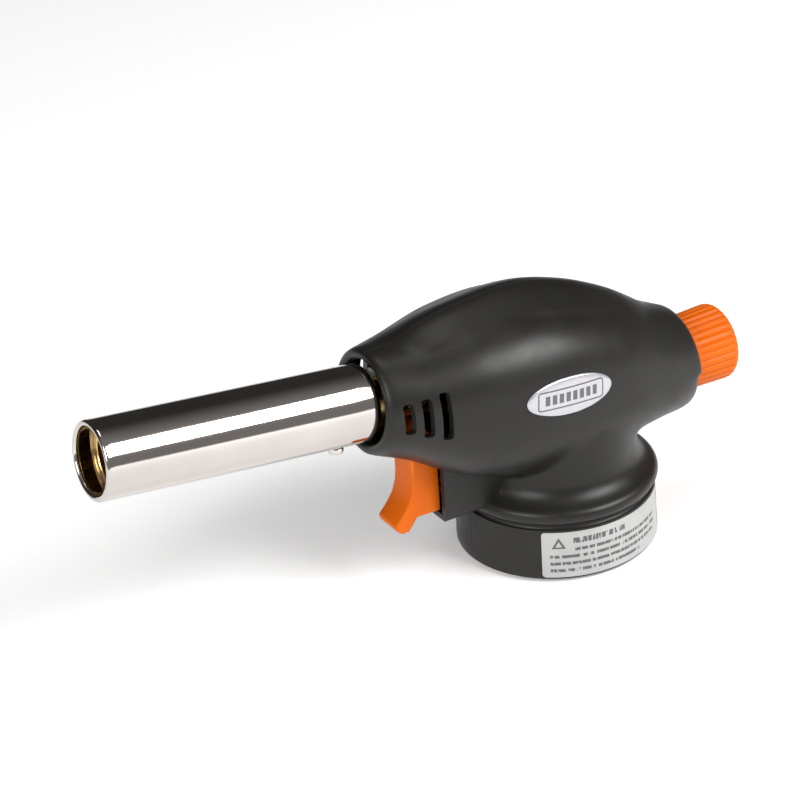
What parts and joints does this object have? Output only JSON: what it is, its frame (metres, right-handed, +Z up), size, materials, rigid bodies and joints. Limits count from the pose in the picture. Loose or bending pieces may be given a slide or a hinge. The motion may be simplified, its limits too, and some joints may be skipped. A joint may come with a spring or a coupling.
{
  "type": "butane torch",
  "caption": "Butane torch head with a chrome flame tube, a grey two-part housing, an orange push trigger and flame knob, and a round foot that locks onto a gas cartridge.",
  "frame": {"origin": "on the axis of the cartridge socket, level with the rim of the steel cup that the torch stands on", "axes": "+Z up along the cartridge axis, -X towards the muzzle, +X towards the flame knob, -Y towards the side with the badge"},
  "size_m": [0.1749, 0.0514, 0.0724],
  "materials": {
    "shell_plastic": "fine grain",
    "orange_plastic": "satin",
    "bright_chrome": "polished",
    "brass": "turned",
    "zinc_steel": "zinc plated",
    "stainless": "drawn wire",
    "black_rubber": "matt",
    "silver_badge": null,
    "silver_label": null,
    "ceramic_white": "unglazed",
    "wire_cover": "extruded",
    "case_plastic": "moulded"
  },
  "bodies": {
    "torch": {"left_shell": "shell_plastic", "right_shell": "shell_plastic", "shell_screws": "zinc_steel", "badge": "silver_badge", "label": "silver_label", "steel_cup": "zinc_steel", "cushion_ring": "black_rubber", "cup_screws": "zinc_steel", "valve_body": "brass", "inlet_probe": "brass", "inlet_seal": "black_rubber", "gas_filter": "brass", "gland_nut": "brass", "flame_tube": "bright_chrome", "burner_holder": "brass", "tube_screw": "bright_chrome", "mixing_tube": "brass", "flame_holder": "brass", "inner_sleeve": "brass", "jet_nozzle": "brass", "electrode_insulator": "ceramic_white", "electrode_pin": "stainless", "ignition_wire": "wire_cover", "piezo_case": "case_plastic", "piezo_spring": "stainless"},
    "trigger_set": {"trigger": "orange_plastic", "piezo_plunger": "case_plastic"},
    "spindle_feed": {"spindle_o_ring": "black_rubber"},
    "knob_set": {"valve_spindle": "brass", "control_knob": "orange_plastic", "knob_screw": "zinc_steel"}
  },
  "joints": [
    {"name": "trigger_slide", "type": "slide", "parent": "torch", "child": "trigger_set", "axis": [1, 0, 0], "range_m": [0, 0.0055], "stiffness_N_per_m": 1500, "springref_m": -0.0025, "deforming": ["piezo_spring"]},
    {"name": "spindle_feed", "type": "slide", "parent": "torch", "child": "spindle_feed", "axis": [1, 0, 0], "range_m": [0, 0.00125]},
    {"name": "knob_turn", "type": "hinge", "parent": "spindle_feed", "child": "knob_set", "pos_m": [0.04, 0, 0.0376], "axis": [1, 0, 0], "range_deg": [0, 360]}
  ],
  "couplings": [
    {"joint": "knob_turn", "follows": "spindle_feed", "rad_per_m": 5026.5}
  ]
}
